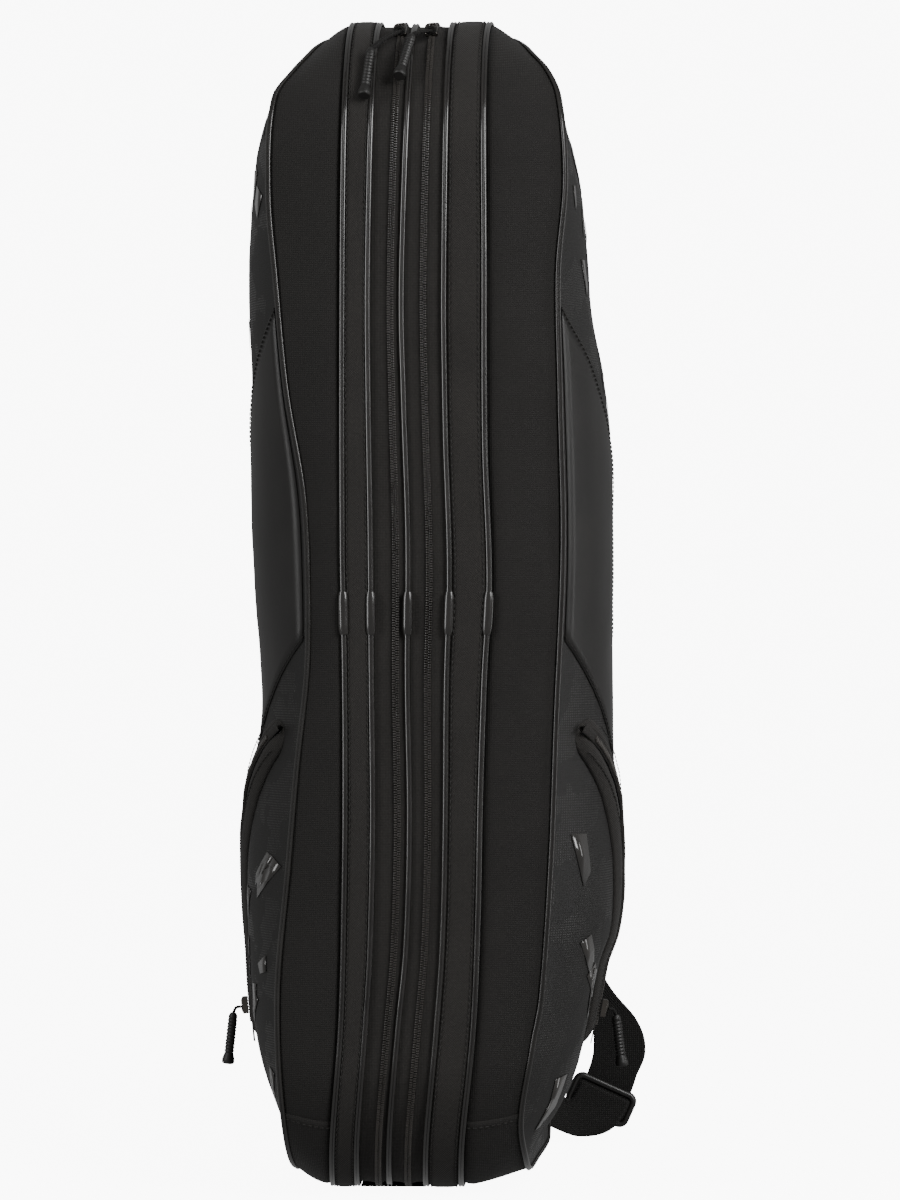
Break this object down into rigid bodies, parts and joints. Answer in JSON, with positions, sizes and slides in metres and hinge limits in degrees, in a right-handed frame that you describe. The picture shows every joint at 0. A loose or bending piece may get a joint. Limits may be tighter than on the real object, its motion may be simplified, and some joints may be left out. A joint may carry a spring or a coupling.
{
  "type": "racket tournament bag",
  "caption": "Upright padded racket bag with two zipped compartments hinged on a cloth spine, piped gussets, face pockets and backpack straps.",
  "frame": {"origin": "on the underside of the zipper end patch, under the middle of the bag", "axes": "+X to the right across the thickness, -Y the zipper side, +Y the spine, +Z along the length, up"},
  "size_m": [0.2802, 0.3677, 0.76],
  "materials": {
    "canvas": "twill-weave polyester canvas, matt",
    "gusset_canvas": "fine-ribbed canvas, matt",
    "printed_canvas": "coated canvas with a tonal gloss print",
    "piping": "glossy extruded piping",
    "zipper_coil": "woven zipper tape with nylon coil",
    "black_steel": "black-coated metal, semi-gloss",
    "pull_rubber": "moulded ribbed rubber",
    "webbing": "ribbed polyester webbing and cord",
    "black_plastic": "moulded plastic, fine texture",
    "divider_padding": "padded lining cloth"
  },
  "bodies": {
    "root": {"divider": "divider_padding", "spine_panel": "canvas", "centre_piping": "piping", "centre_piping_sleeve": "piping", "left_inner_tape": "zipper_coil", "right_inner_tape": "zipper_coil", "zipper_end_patch": "canvas", "left_strap_pad": "canvas", "left_strap_webbing": "webbing", "left_lower_webbing": "webbing", "left_strap_tab": "webbing", "right_strap_pad": "canvas", "right_strap_webbing": "webbing", "right_lower_webbing": "webbing", "right_strap_tab": "webbing"},
    "left_case": {"left_face_panel": "printed_canvas", "left_front_gusset": "gusset_canvas", "left_top_gusset": "gusset_canvas", "left_bottom_gusset": "gusset_canvas", "left_rear_gusset": "gusset_canvas", "left_outer_piping": "piping", "left_band": "canvas", "left_gusset_piping": "piping", "left_band_piping": "piping", "left_outer_tape": "zipper_coil", "left_pocket_welt": "printed_canvas", "left_pocket_zipper": "zipper_coil", "left_gusset_piping_sleeve": "piping", "left_band_piping_sleeve": "piping"},
    "left_main_slider": {"left_slider": "black_steel"},
    "left_main_pull": {"left_pull_ring": "black_steel", "left_pull_cord": "webbing", "left_pull_sleeve": "pull_rubber"},
    "left_pocket_slider": {"left_pocket_slider": "black_steel"},
    "left_pocket_pull": {"left_pocket_pull": "pull_rubber"},
    "left_adjuster": {"left_strap_adjuster": "black_plastic"},
    "right_case": {"right_face_panel": "printed_canvas", "right_front_gusset": "gusset_canvas", "right_top_gusset": "gusset_canvas", "right_bottom_gusset": "gusset_canvas", "right_rear_gusset": "gusset_canvas", "right_outer_piping": "piping", "right_band": "canvas", "right_gusset_piping": "piping", "right_band_piping": "piping", "right_outer_tape": "zipper_coil", "right_pocket_welt": "printed_canvas", "right_pocket_zipper": "zipper_coil", "right_gusset_piping_sleeve": "piping", "right_band_piping_sleeve": "piping"},
    "right_main_slider": {"right_slider": "black_steel"},
    "right_main_pull": {"right_pull_ring": "black_steel", "right_pull_cord": "webbing", "right_pull_sleeve": "pull_rubber"},
    "right_pocket_slider": {"right_pocket_slider": "black_steel"},
    "right_pocket_pull": {"right_pocket_pull": "pull_rubber"},
    "right_adjuster": {"right_strap_adjuster": "black_plastic"},
    "handle": {"handle_webbing": "webbing", "handle_grip": "canvas"}
  },
  "joints": [
    {"name": "left_case_swing", "type": "hinge", "parent": "root", "child": "left_case", "pos_m": [-0.049, 0.158, 0.38], "axis": [0, 0, -1], "range_deg": [0, 25]},
    {"name": "left_slider_travel", "type": "hinge", "parent": "root", "child": "left_main_slider", "pos_m": [-0.0118, -0.06, 0.66], "axis": [1, 0, 0], "range_deg": [-25, 6]},
    {"name": "left_pull_swing", "type": "hinge", "parent": "left_main_slider", "child": "left_main_pull", "pos_m": [-0.0118, -0.1073, 0.7531], "axis": [-1, 0, 0], "range_deg": [0, 100]},
    {"name": "left_pocket_slider_travel", "type": "hinge", "parent": "left_case", "child": "left_pocket_slider", "pos_m": [-0.04664, -0.23165, 0.13252], "axis": [0.9327, 0.3489, 0.0913], "range_deg": [0, 15]},
    {"name": "left_pocket_pull_swing", "type": "hinge", "parent": "left_pocket_slider", "child": "left_pocket_pull", "pos_m": [-0.1251, -0.0341, 0.11], "axis": [0, 1, 0], "range_deg": [0, 90]},
    {"name": "right_case_swing", "type": "hinge", "parent": "root", "child": "right_case", "pos_m": [0.049, 0.158, 0.38], "axis": [0, 0, 1], "range_deg": [0, 25]},
    {"name": "right_slider_travel", "type": "hinge", "parent": "root", "child": "right_main_slider", "pos_m": [0.0083, -0.06, 0.66], "axis": [1, 0, 0], "range_deg": [-8, 18]},
    {"name": "right_pull_swing", "type": "hinge", "parent": "right_main_slider", "child": "right_main_pull", "pos_m": [0.0083, -0.1073, 0.7531], "axis": [-1, 0, 0], "range_deg": [0, 100]},
    {"name": "right_pocket_slider_travel", "type": "hinge", "parent": "right_case", "child": "right_pocket_slider", "pos_m": [0.21693, -0.16003, 0.10761], "axis": [0.7756, 0.6127, -0.1521], "range_deg": [0, 15]},
    {"name": "right_pocket_pull_swing", "type": "hinge", "parent": "right_pocket_slider", "child": "right_pocket_pull", "pos_m": [0.1263, -0.0342, 0.1093], "axis": [0, -1, 0], "range_deg": [0, 90]},
    {"name": "left_adjuster_slide", "type": "slide", "parent": "root", "child": "left_adjuster", "axis": [0, 0, 1], "range_m": [0, 0.015]},
    {"name": "right_adjuster_slide", "type": "slide", "parent": "root", "child": "right_adjuster", "axis": [0.4067, 0, 0.9135], "range_m": [0, 0.008]},
    {"name": "handle_swing", "type": "hinge", "parent": "root", "child": "handle", "pos_m": [0, 0.163, 0.205], "axis": [0, 0, 1], "range_deg": [-10, 10]}
  ]
}
